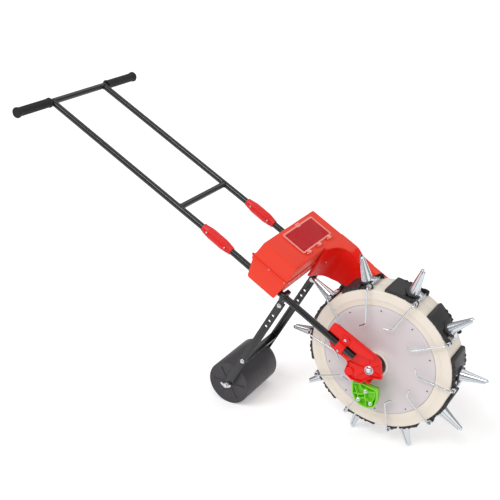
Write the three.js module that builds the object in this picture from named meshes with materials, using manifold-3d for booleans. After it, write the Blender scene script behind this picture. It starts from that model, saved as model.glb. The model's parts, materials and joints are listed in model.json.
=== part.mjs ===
// Hand-pushed drum seeder. A ten-beak drum rolls between two tubes, a hopper above it feeds seed down a
// chute to the drum's hub, and a press roller behind closes the soil. A cam on the right axle bracket
// works the beaks' wire levers. Millimetres, +X the direction of travel, +Y the machine's left, +Z up.
// The origin is on the ground under the middle of the machine.
import * as THREE from "three";
import { mergeVertices } from "three/addons/utils/BufferGeometryUtils.js";
import Module from "manifold-3d";

const wasm = await Module();
wasm.setup();
const { degToRad } = THREE.MathUtils;

// ---- Driving dimensions ----------------------------------------------------------------------------
const GAP = 0.3; // between pieces that touch
const WALL = 3; // moulded hopper and chute

const STATIONS = 10; // beaks on the drum
const RIM_R = 210;
const RIM_HALF = 48; // half of the drum's width at the rim
const TIP_R = 297; // beak tip from the axle
const TIP_FLAT_R = 2;

const TUBE_R = 9.5;
const TUBE_WALL = 1.6;
const TUBE_START = 1.5; // tube end from its coupling's centre
const TUBE_Y = 118.5; // from the middle plane to a tube's centre
const RAIL_SLOPE = degToRad(29.4); // lower frame tubes, falling forward
const HANDLE_SLOPE = degToRad(28.1); // upper handle tubes
const HANDLE_LENGTH = 673.5; // coupling centre to handlebar axis
const RAIL_END = 506; // front end of a frame tube from the coupling centre
const AXLE_U = 560; // axle along the frame tubes from the coupling centre
const AXLE_N = -6.7; // axle above the frame tubes' plane

const BRACE_X = -148; // handle brace from the coupling centre
const BRACE_R = 9;
const GRIP_INNER_Y = 130;
const GRIP_OUTER_Y = 269;
const GRIP_R = 14;
const GRIP_FLANGE_R = 16.5;

const ROLLER_R = 70; // to a facet's middle
const ROLLER_HALF = 88;
const ROLLER_SIDES = 24;
const ARM_U = 252; // roller arm's centre line along the frame tubes
const ARM_Y = 95;
const ARM_WIDTH = 24;
const ARM_THICK = 4;
const ARM_TOP_N = -38;
const CROSS_BAR_N = -309;

const AXLE_R = 8;
const BOLT_R = 3;
const PLATE_INNER_Y = 104.7; // inner face of an axle bracket
const PLATE_OUTER_Y = 108.7;
const PLATE_BOSS = 1.5; // the plate's raised ring round the axle
const HOUSING_R = 50; // fixed seed inlet housing on the left of the hub
const SEED_PORT = { u: 562, n: 30, r: 12 }; // where the chute meets the left axle bracket

const SEAT_LAG = degToRad(7); // seat plate's middle behind its beak
const SEAT_HALF = 40;
const SEAT_HALF_Y = 43;
const SEAT_IN = 204;
const SEAT_OUT = 211.5;
const PAD = { out: 218, z: -16 }; // the seat's raised trailing part, behind the beak
const HINGE = { x: 218, z: -26 }; // moving beak's pin, in its station's frame
const PIN_R = 3;
const BEAK_BASE_R = 20;
const BEAK_FLATTEN = 0.85; // beak's width across the machine to its width along the rim

// Sides of the round pieces, kept low because each is finished elsewhere.
const ROUND = 12;
const SMALL_ROUND = 6;
const RING_SIDES = 20;
const DRUM_SIDES = 40;

// ---- Derived places --------------------------------------------------------------------------------
const STEP = (2 * Math.PI) / STATIONS;
// The drum stands on two neighbouring tips, so the ground is half a step off the lowest point.
const AXLE_Z = TIP_R * Math.cos(STEP / 2) + TIP_FLAT_R * Math.sin(STEP / 2);
const along = new THREE.Vector2(Math.cos(RAIL_SLOPE), -Math.sin(RAIL_SLOPE));
const above = new THREE.Vector2(Math.sin(RAIL_SLOPE), Math.cos(RAIL_SLOPE));
const coupling = new THREE.Vector2()
  .addScaledVector(along, -AXLE_U)
  .addScaledVector(above, -AXLE_N);
const barX = coupling.x - HANDLE_LENGTH * Math.cos(HANDLE_SLOPE);
const AXLE_X = (GRIP_FLANGE_R - barX - TIP_R) / 2;
// The roller hangs on the arms' centre line where it just meets the ground.
const ROLLER_N = (ROLLER_R - AXLE_Z - coupling.y - ARM_U * along.y) / above.y;
const rollerX = coupling.x + ARM_U * along.x + ROLLER_N * above.x;
const rollerZ = ROLLER_R - AXLE_Z;

// ---- Materials -------------------------------------------------------------------------------------
function finish(color, roughness, metalness = 0, opacity = 1) {
  return new THREE.MeshStandardMaterial({
    color,
    roughness,
    metalness,
    opacity,
    transparent: opacity < 1,
  });
}
const blackPaint = finish(0x141414, 0.25);
const rubber = finish(0x26262a, 0.8);
const red = finish(0xe8402c, 0.38);
const couplingRed = finish(0xd93a36, 0.4);
const cream = finish(0xe0d6c8, 0.5);
const paleGrey = finish(0xcdc8c8, 0.5);
const blackPlastic = finish(0x3a373b, 0.6);
const zinc = finish(0xc4c8cc, 0.3, 0.9);
const green = finish(0x6ecb3c, 0.45);
const clear = finish(0xf0b8b8, 0.1, 0, 0.35);
const charcoal = finish(0x454246, 0.6);

// ---- Solids ----------------------------------------------------------------------------------------
// A three.js geometry as a closed solid whose faces point outwards.
function solidOf(geometry) {
  const bare = new THREE.BufferGeometry();
  bare.setAttribute("position", geometry.getAttribute("position").clone());
  bare.setIndex(geometry.index);
  const merged = mergeVertices(bare, 1e-3);
  const vertProperties = new Float32Array(merged.attributes.position.array);
  const triVerts = new Uint32Array(merged.index.array);
  const solid = new wasm.Manifold(
    new wasm.Mesh({ numProp: 3, vertProperties, triVerts }),
  );
  if (solid.volume() > 0) return solid;
  for (let i = 0; i < triVerts.length; i += 3) {
    const kept = triVerts[i];
    triVerts[i] = triVerts[i + 1];
    triVerts[i + 1] = kept;
  }
  return new wasm.Manifold(
    new wasm.Mesh({ numProp: 3, vertProperties, triVerts }),
  );
}

function geometryOf(solid) {
  const mesh = solid.getMesh();
  const geometry = new THREE.BufferGeometry();
  geometry.setAttribute(
    "position",
    new THREE.BufferAttribute(mesh.vertProperties, mesh.numProp),
  );
  geometry.setIndex(new THREE.BufferAttribute(mesh.triVerts, 1));
  geometry.computeVertexNormals();
  return geometry;
}

function join(...geometries) {
  const solids = geometries.map(solidOf);
  return geometryOf(solids.reduce((sum, next) => sum.add(next)));
}

function cut(geometry, ...tools) {
  const solids = tools.map(solidOf);
  return geometryOf(
    solids.reduce((left, tool) => left.subtract(tool), solidOf(geometry)),
  );
}

function common(a, b) {
  return geometryOf(solidOf(a).intersect(solidOf(b)));
}

// The same piece on the machine's other side.
function mirrored(geometry) {
  return geometryOf(solidOf(geometry.clone().scale(1, -1, 1)));
}

function box(x0, x1, y0, y1, z0, z1) {
  return new THREE.BoxGeometry(x1 - x0, y1 - y0, z1 - z0).translate(
    (x0 + x1) / 2,
    (y0 + y1) / 2,
    (z0 + z1) / 2,
  );
}

function rodY(r, y0, y1, x = 0, z = 0, sides = ROUND) {
  return new THREE.CylinderGeometry(r, r, y1 - y0, sides).translate(
    x,
    (y0 + y1) / 2,
    z,
  );
}

function rodX(r, x0, x1, y = 0, z = 0, sides = ROUND) {
  return new THREE.CylinderGeometry(r, r, x1 - x0, sides)
    .rotateZ(-Math.PI / 2)
    .translate((x0 + x1) / 2, y, z);
}

// Radius for a hole whose flats clear a rod of radius r by the gap.
function bore(r, sides = ROUND) {
  return (r + GAP) / Math.cos(Math.PI / sides);
}

// A body of revolution about Y from a closed list of [radius, y].
function turned(profile, sides) {
  const points = profile.map(([r, y]) => new THREE.Vector2(r, y));
  return geometryOf(solidOf(new THREE.LatheGeometry(points, sides)));
}

function ringY(inner, outer, y0, y1, sides) {
  return turned(
    [
      [inner, y0],
      [outer, y0],
      [outer, y1],
      [inner, y1],
      [inner, y0],
    ],
    sides,
  );
}

// A pipe along X, hollow from end to end.
function pipeX(x0, x1, y) {
  return ringY(TUBE_R - TUBE_WALL, TUBE_R, x0, x1, ROUND)
    .rotateZ(-Math.PI / 2)
    .translate(0, y, 0);
}

function outline(points) {
  return new THREE.Shape(points.map(([a, b]) => new THREE.Vector2(a, b)));
}

// A plate whose outline lies in the XZ plane, from y0 to y1.
function slabY(points, y0, y1) {
  return new THREE.ExtrudeGeometry(outline(points), {
    depth: y1 - y0,
    bevelEnabled: false,
  })
    .rotateX(Math.PI / 2)
    .translate(0, y1, 0);
}

// A plate whose outline lies in the XY plane, from z0 to z1.
function slabZ(points, z0, z1) {
  return new THREE.ExtrudeGeometry(outline(points), {
    depth: z1 - z0,
    bevelEnabled: false,
  }).translate(0, 0, z0);
}

// A closed outline moved inwards by the given distance.
function inset(points, distance) {
  const sign = THREE.ShapeUtils.isClockWise(
    points.map(([a, b]) => new THREE.Vector2(a, b)),
  )
    ? -1
    : 1;
  const count = points.length;
  const edge = (i) => {
    const [ax, ay] = points[(i + count) % count];
    const [bx, by] = points[(i + 1) % count];
    const length = Math.hypot(bx - ax, by - ay);
    const nx = (-(by - ay) / length) * sign;
    const ny = ((bx - ax) / length) * sign;
    return { nx, ny, offset: nx * ax + ny * ay + distance };
  };
  return points.map((_, i) => {
    const p = edge(i - 1);
    const q = edge(i);
    const det = p.nx * q.ny - p.ny * q.nx;
    return [
      (p.offset * q.ny - p.ny * q.offset) / det,
      (p.nx * q.offset - p.offset * q.nx) / det,
    ];
  });
}

// Round wire through the given points.
function wire(points, r, steps, sides) {
  const section = Array.from({ length: sides }, (_, i) => {
    const a = (i * 2 * Math.PI) / sides;
    return [r * Math.cos(a), r * Math.sin(a)];
  });
  const path = new THREE.CatmullRomCurve3(
    points.map((p) => new THREE.Vector3(...p)),
    false,
    "catmullrom",
    0.15,
  );
  return new THREE.ExtrudeGeometry(outline(section), {
    steps,
    extrudePath: path,
    bevelEnabled: false,
  });
}

function add(group, name, geometry, material) {
  const mesh = new THREE.Mesh(geometry, material);
  mesh.name = name;
  group.add(mesh);
  return mesh;
}

// ---- Groups: machine is centred on the axle, rail and handle on the couplings -----------------------
const seeder = new THREE.Group();
const machine = new THREE.Group();
machine.position.set(AXLE_X, 0, AXLE_Z);
const rail = new THREE.Group();
rail.position.set(coupling.x, 0, coupling.y);
rail.rotation.y = RAIL_SLOPE;
const handle = new THREE.Group();
handle.position.copy(rail.position);
handle.rotation.y = HANDLE_SLOPE;
machine.add(rail, handle);
seeder.add(machine);

// ---- Handle: bar, grips, two tubes and a brace ------------------------------------------------------
function handleTube(y) {
  const pipe = pipeX(-HANDLE_LENGTH, -TUBE_START, y);
  const bar = rodY(bore(TUBE_R), y - 20, y + 20, -HANDLE_LENGTH);
  return cut(pipe, bar);
}

function braceTube() {
  const reach = TUBE_Y - 3;
  const pipe = ringY(BRACE_R - TUBE_WALL, BRACE_R, -reach, reach, ROUND);
  const cope = bore(TUBE_R);
  return cut(pipe, rodX(cope, -20, 20, TUBE_Y), rodX(cope, -20, 20, -TUBE_Y));
}

function grip() {
  return turned(
    [
      [TUBE_R + GAP, GRIP_INNER_Y],
      [GRIP_FLANGE_R - 1, GRIP_INNER_Y],
      [GRIP_FLANGE_R - 1, GRIP_INNER_Y + 5],
      [GRIP_R, GRIP_INNER_Y + 9],
      [GRIP_R, GRIP_OUTER_Y - 12],
      [GRIP_FLANGE_R, GRIP_OUTER_Y - 5],
      [GRIP_FLANGE_R, GRIP_OUTER_Y],
      [0, GRIP_OUTER_Y],
      [0, GRIP_OUTER_Y - WALL],
      [TUBE_R + GAP, GRIP_OUTER_Y - WALL],
      [TUBE_R + GAP, GRIP_INNER_Y],
    ],
    ROUND,
  );
}

function buildHandle() {
  const barEnd = GRIP_OUTER_Y - WALL - GAP;
  const bar = ringY(TUBE_R - TUBE_WALL, TUBE_R, -barEnd, barEnd, ROUND);
  const leftGrip = grip();
  const parts = [
    ["handlebar", bar, blackPaint],
    ["left_grip", leftGrip, rubber],
    ["right_grip", mirrored(leftGrip), rubber],
  ];
  for (const [name, geometry, material] of parts)
    add(handle, name, geometry, material).position.x = -HANDLE_LENGTH;
  add(handle, "right_handle_tube", handleTube(-TUBE_Y), blackPaint);
  add(handle, "left_handle_tube", handleTube(TUBE_Y), blackPaint);
  add(handle, "handle_brace", braceTube(), blackPaint).position.x = BRACE_X;
}

// ---- Couplings: two half shells bolted round each pair of tube ends ---------------------------------
const COUPLING_HALF = 55;

function couplingHalf(upper) {
  const spindle = turned(
    [
      [0, -COUPLING_HALF],
      [12.5, -COUPLING_HALF],
      [17.5, -22],
      [17.5, 22],
      [12.5, COUPLING_HALF],
      [0, COUPLING_HALF],
    ],
    ROUND,
  ).rotateZ(-Math.PI / 2);
  const flange = box(-45, 45, -18.5, 18.5, -3.5, 3.5);
  const hole = bore(TUBE_R);
  const tilt = HANDLE_SLOPE - RAIL_SLOPE;
  const other = upper
    ? box(-60, 60, -30, 30, -30, GAP / 2)
    : box(-60, 60, -30, 30, -GAP / 2, 30);
  return cut(
    join(spindle, flange),
    rodX(hole, -70, 70),
    rodX(hole, -70, 5).rotateY(tilt),
    other,
  );
}

function buildCouplings() {
  for (const [side, y] of [
    ["right", -TUBE_Y],
    ["left", TUBE_Y],
  ]) {
    for (const half of ["upper", "lower"]) {
      const shell = couplingHalf(half === "upper");
      const name = `${side}_coupling_${half}`;
      add(rail, name, shell, couplingRed).position.y = y;
    }
  }
}

// ---- Hopper, window lid and feed chute, in the rail's frame -----------------------------------------
const HOPPER_Y = 140;
const SEAM_N = 52;
const HOPPER_TOP_N = 115;
const BODY_SIDE = [
  [121, SEAM_N],
  [136, -15],
  [235, -15],
  [242, SEAM_N],
];
const COVER_SIDE = [
  [121, SEAM_N + GAP],
  [128, HOPPER_TOP_N],
  [244, HOPPER_TOP_N],
  [242, SEAM_N + GAP],
];
const WINDOW = { u0: 146, u1: 220, y0: -60, y1: 96 };
const LID = { u0: 141, u1: 222, y0: -65, y1: 101 };
const LID_THICK = 2.5;
const LID_PIN = { u: 228, n: 119, r: 1.5 };
const KNUCKLES = [-42, 18, 78]; // middles of the lid's three hinge knuckles
const SEED_MOUTH = { y0: 45, y1: 90, n0: 5, n1: 45 }; // from hopper to throat
const TUNNEL = { y0: 106, y1: 137, n: 12.5 }; // room for a frame tube under the hopper

function hopperBody() {
  const inside = inset(BODY_SIDE, WALL);
  const lift = SEAM_N + 1; // the open top, cut clear through the seam
  const bin = slabY(inside, -TUNNEL.y0 + WALL, TUNNEL.y0 - WALL);
  const wide = common(
    slabY(inside, -HOPPER_Y + WALL, HOPPER_Y - WALL),
    box(100, 260, -HOPPER_Y, HOPPER_Y, TUNNEL.n + WALL, lift),
  );
  const mouthTop = box(124, 239, -HOPPER_Y + WALL, HOPPER_Y - WALL, 45, lift);
  const tunnel = box(100, 260, TUNNEL.y0, TUNNEL.y1, -20, TUNNEL.n);
  const { y0, y1, n0, n1 } = SEED_MOUTH;
  return cut(
    slabY(BODY_SIDE, -HOPPER_Y, HOPPER_Y),
    bin,
    wide,
    mouthTop,
    tunnel,
    mirrored(tunnel),
    box(225, 250, y0, y1, n0, n1),
  );
}

// The plan of the cover's nose, which reaches forward over the throat on the left.
const NOSE_PLAN = [
  [243, 28],
  [251, 33],
  [257, 52],
  [266, 74],
  [281, 90],
  [302, 98],
  [302, 142],
  [243, 142],
];

function lidPinHole() {
  const { u, n, r } = LID_PIN;
  return rodY(bore(r, SMALL_ROUND), LID.y0 - 15, LID.y1 + 9, u, n, SMALL_ROUND);
}

function hopperCover() {
  const { u0, u1, y0, y1 } = WINDOW;
  const inside = inset(COVER_SIDE, WALL);
  const shell = slabY(COVER_SIDE, -HOPPER_Y, HOPPER_Y);
  const nose = slabZ(NOSE_PLAN, HOPPER_TOP_N - WALL, HOPPER_TOP_N);
  const lugs = KNUCKLES.flatMap((y) =>
    [y - 11, y + 11].map((at) =>
      box(224.5, 231.5, at - 3, at + 3, HOPPER_TOP_N - 1, 121.5),
    ),
  );
  return cut(
    join(shell, nose, ...lugs),
    slabY(inside, -HOPPER_Y + WALL, HOPPER_Y - WALL),
    box(126, 239, -HOPPER_Y + WALL, HOPPER_Y - WALL, SEAM_N - 1, SEAM_N + 8),
    box(u0, u1, y0, y1, HOPPER_TOP_N - 2 * WALL, HOPPER_TOP_N + 1),
    lidPinHole(),
  );
}

function windowLid() {
  const { u0, u1, y0, y1 } = LID;
  const n0 = HOPPER_TOP_N + GAP;
  const n1 = n0 + LID_THICK;
  const sheet = box(u0, u1, y0, y1, n0, n1);
  const rim = cut(
    box(u0, u1, y0, y1, n1 - 1, n1 + 1.2),
    box(u0 + 5, u1 - 5, y0 + 5, y1 - 5, n1 - 2, n1 + 2),
  );
  const tab = box(u0 - 5, u0 + 7, 12, 32, n0, n1 + 2.5);
  const knuckles = KNUCKLES.flatMap((y) => [
    box(u1 - 2, LID_PIN.u, y - 7, y + 7, n0 + 0.4, LID_PIN.n + 2.2),
    rodY(3.2, y - 7, y + 7, LID_PIN.u, LID_PIN.n, SMALL_ROUND),
  ]);
  return cut(
    join(sheet, rim, tab, ...knuckles),
    lidPinHole(),
  );
}

// The chute: a throat under the cover's nose whose wall sweeps from the hopper's front round to an arm on
// the left, which runs down to the hub.
const THROAT_TOP_N = HOPPER_TOP_N - WALL - GAP;
const THROAT_PLAN = [
  [244.4, 26],
  [251, 33],
  [257, 52],
  [266, 74],
  [281, 90],
  [311, 100],
  [345, 105.5],
  [372, 110],
  [372, 145],
  [244.4, 145],
];
const THROAT_SIDE = [
  [244.4, 2],
  [262, -6],
  [300, -3],
  [345, 6],
  [364, 20],
  [372, 50],
  [372, 99],
  [330, 101],
  [306, THROAT_TOP_N],
  [244.4, THROAT_TOP_N],
];
const CHUTE_Y0 = 114;
const CHUTE_Y1 = 145;
const CHUTE_SIDE = [
  [282, 100],
  [432, 100],
  [520, 78],
  [575, 52],
  [588, 34],
  [584, 15],
  [534, 15],
  [500, 42],
  [300, 42],
];
// The throat stays above the left frame tube and its roller arm's collar.
const THROAT_CLEAR = [
  { u0: 230, u1: 263, y: 96.5 },
  { u0: 262, u1: 400, y: 107 },
];
const THROAT_CLEAR_N = 14;

function feedChute() {
  const throat = (shrink) =>
    cut(
      common(
        slabZ(inset(THROAT_PLAN, shrink), -40, 130),
        slabY(inset(THROAT_SIDE, shrink), 0, 160),
      ),
      ...THROAT_CLEAR.map(({ u0, u1, y }) =>
        box(u0, u1 + shrink, y - shrink, 160, -60, THROAT_CLEAR_N + shrink),
      ),
    );
  const arm = (shrink) =>
    slabY(inset(CHUTE_SIDE, shrink), CHUTE_Y0 + shrink, CHUTE_Y1 - shrink);
  const spout = rodY(SEED_PORT.r, 104.5, CHUTE_Y0 + 1, SEED_PORT.u, SEED_PORT.n);
  const { y0, y1, n0, n1 } = SEED_MOUTH;
  return cut(
    join(throat(0), arm(0), spout),
    throat(WALL),
    arm(WALL),
    box(240, 250, y0, y1, n0, n1),
    rodY(SEED_PORT.r - WALL, 100, CHUTE_Y0 + 5, SEED_PORT.u, SEED_PORT.n),
  );
}

function buildHopper() {
  const { u, n, r } = LID_PIN;
  const pin = rodY(r, LID.y0, LID.y1, u, n, SMALL_ROUND);
  add(rail, "hopper_body", hopperBody(), red);
  add(rail, "hopper_cover", hopperCover(), red);
  add(rail, "window_lid", windowLid(), clear);
  add(rail, "lid_hinge_pin", pin, zinc);
  add(rail, "feed_chute", feedChute(), red);
}

// ---- Frame tubes, axle brackets, clamps and cam -----------------------------------------------------
const CLAMP_U = 461;
const CLAMP_HALF = 13;
const CLAMP_BOLTS = [28, -18]; // above and below the tube
// Outline of an axle bracket in the rail's frame, round the axle and back along the tube.
const BRACKET_SIDE = [
  [407, -6],
  [407, 38],
  [420, 42],
  [556, 47],
  [575, 50],
  [604, 6],
  [577, -24],
  [565, -57],
  [538, -72],
  [509, -69],
  [502, -36],
  [488, -26],
  [436, -26],
];

function clampBoltHoles() {
  return CLAMP_BOLTS.map((n) =>
    rodY(BOLT_R, -130, -90, CLAMP_U, n, SMALL_ROUND),
  );
}

function axleBracket(side) {
  const plate = slabY(BRACKET_SIDE, -PLATE_OUTER_Y, -PLATE_INNER_Y);
  const lip = slabY(
    [
      [407, 34],
      [420, 38],
      [540, 42.5],
      [540, 46.4],
      [420, 42],
      [407, 38],
    ],
    -120,
    -PLATE_INNER_Y,
  );
  const boss = rodY(16, -PLATE_OUTER_Y - PLATE_BOSS, -PLATE_INNER_Y, AXLE_U, AXLE_N);
  const axleHole = rodY(bore(AXLE_R), -130, -90, AXLE_U, AXLE_N);
  if (side === "right") {
    const tongue = join(
      box(AXLE_U - 4, AXLE_U + 24, -PLATE_OUTER_Y, -80, -50, -42),
      box(AXLE_U, AXLE_U + 24, -84, -80, -100, -42),
    );
    return cut(join(plate, lip, boss, tongue), axleHole, ...clampBoltHoles());
  }
  const port = rodY(bore(SEED_PORT.r), -130, -90, SEED_PORT.u, SEED_PORT.n);
  const left = cut(join(plate, boss), axleHole, port, ...clampBoltHoles());
  return mirrored(left);
}

// A strap over the outside of the tube, bolted to the bracket above and below it.
function tubeClamp() {
  const u0 = CLAMP_U - CLAMP_HALF;
  const u1 = CLAMP_U + CLAMP_HALF;
  const face = -PLATE_OUTER_Y - GAP;
  const saddle = box(u0, u1, -131, face, -13, 14);
  const feet = box(u0, u1, face - 4, face, -25, 38);
  return cut(
    join(saddle, feet),
    rodX(bore(TUBE_R), 400, 520, -TUBE_Y),
    box(u0 - 1, u1 + 1, -TUBE_Y, face + 1, -TUBE_R - GAP, TUBE_R + GAP),
    ...clampBoltHoles(),
  );
}

// The cam hangs below the axle: a ribbed sector, open to the outside, in the machine's frame.
const CAM_SIDE = [
  [-52, -59],
  [-20, -53],
  [0, -58],
  [24, -62],
  [25, -95],
  [19, -118],
  [0, -127],
  [-20, -126],
  [-39, -117],
  [-50, -92],
];
const CAM_BOLTS = [
  [-10, -76],
  [-31, -109],
  [6, -111],
];
const CAM_OUTER_Y = -104.4;
const CAM_WEB_Y = -91;
const CAM_INNER_Y = -86;

function openingCam() {
  const pocket = slabY(inset(CAM_SIDE, WALL), CAM_OUTER_Y - 1, CAM_WEB_Y);
  const bosses = CAM_BOLTS.map(([x, z]) =>
    rodY(7, CAM_OUTER_Y + 1, CAM_INNER_Y, x, z, 8),
  );
  const holes = CAM_BOLTS.map(([x, z]) =>
    rodY(BOLT_R, -110, -80, x, z, SMALL_ROUND),
  );
  const ribs = [
    box(-52, 26, CAM_OUTER_Y + 2, CAM_WEB_Y, -1, 1).rotateY(0.5),
    box(-52, 26, CAM_OUTER_Y + 2, CAM_WEB_Y, -1, 1).rotateY(-0.9),
  ].map((rib) => rib.translate(-8, 0, -95));
  const body = cut(slabY(CAM_SIDE, CAM_OUTER_Y, CAM_INNER_Y), pocket);
  const filled = join(body, ...ribs, ...bosses);
  return cut(
    common(filled, slabY(CAM_SIDE, CAM_OUTER_Y, CAM_INNER_Y)),
    ...holes,
  );
}

// The axle is one long bolt through both brackets, with its head, washers and nut.
function drumAxle() {
  const face = PLATE_OUTER_Y + PLATE_BOSS + GAP;
  return join(
    rodY(AXLE_R, -face - 1, face + 9),
    rodY(13, -face - 2.5, -face),
    rodY(10, -face - 8, -face - 2, 0, 0, 6),
    rodY(13, face, face + 2.5),
    rodY(10, face + 2, face + 8, 0, 0, 6),
  );
}

function buildFrame() {
  add(rail, "right_frame_tube", pipeX(TUBE_START, RAIL_END, -TUBE_Y), blackPaint);
  add(rail, "left_frame_tube", pipeX(TUBE_START, RAIL_END, TUBE_Y), blackPaint);
  add(rail, "right_axle_bracket", axleBracket("right"), red);
  add(rail, "left_axle_bracket", axleBracket("left"), red);
  add(rail, "right_tube_clamp", tubeClamp(), red);
  add(rail, "left_tube_clamp", mirrored(tubeClamp()), red);
  add(machine, "opening_cam", openingCam(), green);
  add(machine, "drum_axle", drumAxle(), zinc);
}

// ---- Press roller on two perforated arms ------------------------------------------------------------
const ROLLER_AXLE_R = 6;
const ARM_HOLES = [-98, -121, -144];
const ARM_BOLT_N = -50;

function rollerArm(side) {
  const half = ARM_WIDTH / 2;
  const y0 = side * ARM_Y - ARM_THICK / 2;
  const y1 = side * ARM_Y + ARM_THICK / 2;
  const hole = (r, n, sides) => rodY(r, y0 - 1, y1 + 1, ARM_U, n, sides);
  return cut(
    join(
      box(ARM_U - half, ARM_U + half, y0, y1, ROLLER_N, ARM_TOP_N),
      rodY(half, y0, y1, ARM_U, ROLLER_N),
    ),
    hole(bore(ROLLER_AXLE_R), ROLLER_N, ROUND),
    hole(3.3, CROSS_BAR_N, SMALL_ROUND),
    hole(4, ARM_BOLT_N, SMALL_ROUND),
    ...ARM_HOLES.map((n) => hole(4, n, SMALL_ROUND)),
  );
}

// A collar on the frame tube with a lug that the arm is bolted to.
function armBracket() {
  const u0 = ARM_U - 7;
  const u1 = ARM_U + 7;
  const lugOuter = -ARM_Y - ARM_THICK / 2 - GAP;
  return cut(
    join(
      box(u0, u1, -TUBE_Y - 13, -TUBE_Y + 13, -13, 13),
      box(u0, u1, lugOuter - 4, lugOuter, -66, 13),
      box(u0, u1, -TUBE_Y, lugOuter, -13, -9),
      box(u0, u1, -TUBE_Y, lugOuter, 9, 13),
    ),
    rodX(bore(TUBE_R), u0 - 1, u1 + 1, -TUBE_Y),
    rodY(4, -110, -90, ARM_U, ARM_BOLT_N, SMALL_ROUND),
  );
}

function crossBar() {
  const reach = ARM_Y - ARM_THICK / 2 - GAP;
  return join(
    box(-11, 11, -reach, reach, -1.5, 1.5),
    box(8, 11, -reach, reach, -10, 1.5),
    box(-11, 11, -reach, -reach + 3, -9, 9),
    box(-11, 11, reach - 3, reach, -9, 9),
  );
}

function rollerShell() {
  const outer = ROLLER_R / Math.cos(Math.PI / ROLLER_SIDES);
  const inner = outer - 4;
  const hole = bore(ROLLER_AXLE_R);
  return turned(
    [
      [inner, -ROLLER_HALF],
      [outer, -ROLLER_HALF],
      [outer, ROLLER_HALF],
      [hole, ROLLER_HALF],
      [hole, ROLLER_HALF - 4],
      [inner, ROLLER_HALF - 4],
      [inner, -ROLLER_HALF],
    ],
    ROLLER_SIDES,
  ).rotateY(Math.PI / ROLLER_SIDES);
}

function rollerEndCap() {
  const outer = ROLLER_R - 4 - GAP;
  const hole = bore(ROLLER_AXLE_R);
  const y0 = -ROLLER_HALF + 0.5;
  return turned(
    [
      [hole, y0],
      [outer, y0],
      [outer, y0 + 4],
      [18, y0 + 4],
      [18, y0 + 20],
      [hole, y0 + 20],
      [hole, y0],
    ],
    ROLLER_SIDES,
  ).rotateY(Math.PI / ROLLER_SIDES);
}

function rollerAxle() {
  const face = ARM_Y + ARM_THICK / 2 + GAP;
  return join(
    rodY(ROLLER_AXLE_R, -face - 12, face + 10),
    rodY(10, -face - 7, -face, 0, 0, 12),
    box(-19, 19, -face - 6, -face - 3, -3, 3),
    rodY(10, face, face + 7, 0, 0, 6),
  );
}

function buildRoller() {
  const place = (mesh) => mesh.position.set(rollerX, 0, rollerZ);
  add(rail, "right_roller_arm", rollerArm(-1), blackPaint);
  add(rail, "left_roller_arm", rollerArm(1), blackPaint);
  add(rail, "right_arm_bracket", armBracket(), blackPaint);
  add(rail, "left_arm_bracket", mirrored(armBracket()), blackPaint);
  const bar = add(rail, "arm_cross_bar", crossBar(), blackPaint);
  bar.position.set(ARM_U, 0, CROSS_BAR_N);
  place(add(machine, "press_roller", rollerShell(), charcoal));
  place(add(machine, "roller_end_cap", rollerEndCap(), charcoal));
  place(add(machine, "roller_axle", rollerAxle(), zinc));
}

// ---- Drum: two half shells, side covers, metering wheel and distributor ------------------------------
const COVER_R = 166.6;
const HUB_BOSS_R = 31;
const HUB_BOSS_Y = -74;
const BUSH_FACE_Y = -80;
const BUSH_R = 12;
const BUSH_FLANGE_R = 28;
const COVER_FACE = 53.5; // a side cover's outer face from the middle plane
const COVER_BACK = 47;
const LEFT_BUSH_R = 54;

function seatWindow(station) {
  return box(195, 225, -SEAT_HALF_Y - GAP, SEAT_HALF_Y + GAP, -40.4, 40.4)
    .rotateY(-SEAT_LAG)
    .rotateY(-station * STEP);
}

function drumHalf() {
  const shell = turned(
    [
      [RIM_R, -GAP / 2],
      [RIM_R, -RIM_HALF + 3],
      [RIM_R - 3, -RIM_HALF],
      [COVER_R + 0.5, -50],
      [COVER_R + 0.5, -46.6],
      [150, -46.6],
      [150, -43.6],
      [RIM_R - 6, -44],
      [RIM_R - 3, -42],
      [RIM_R - 3, -GAP / 2],
      [RIM_R, -GAP / 2],
    ],
    DRUM_SIDES,
  );
  const windows = Array.from({ length: STATIONS }, (_, i) => seatWindow(i));
  return cut(shell, ...windows);
}

function rightSideCover() {
  const hole = BUSH_R + GAP;
  return turned(
    [
      [hole, HUB_BOSS_Y],
      [HUB_BOSS_R, HUB_BOSS_Y],
      [HUB_BOSS_R, -60],
      [HUB_BOSS_R + 7, -COVER_FACE],
      [COVER_R - 6, -COVER_FACE],
      [COVER_R, -51],
      [COVER_R, -COVER_BACK],
      [hole, -COVER_BACK],
      [hole, HUB_BOSS_Y],
    ],
    DRUM_SIDES,
  );
}

function leftSideCover() {
  const hole = LEFT_BUSH_R + GAP;
  return turned(
    [
      [hole, COVER_BACK],
      [COVER_R, COVER_BACK],
      [COVER_R, 51],
      [COVER_R - 6, COVER_FACE],
      [hole, COVER_FACE],
      [hole, COVER_BACK],
    ],
    DRUM_SIDES,
  );
}

function rightHubBush() {
  const hole = bore(AXLE_R, RING_SIDES);
  return turned(
    [
      [hole, BUSH_FACE_Y],
      [BUSH_FLANGE_R, BUSH_FACE_Y],
      [BUSH_FLANGE_R, HUB_BOSS_Y - GAP],
      [BUSH_R - GAP, HUB_BOSS_Y - GAP],
      [BUSH_R - GAP, -46],
      [hole, -46],
      [hole, BUSH_FACE_Y],
    ],
    RING_SIDES,
  );
}

// The metering wheel lifts seed in ten pockets, one for each beak.
const WHEEL_R = 70;
const DISTRIBUTOR_R = 76;
const VANE_END_R = 198;

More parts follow.
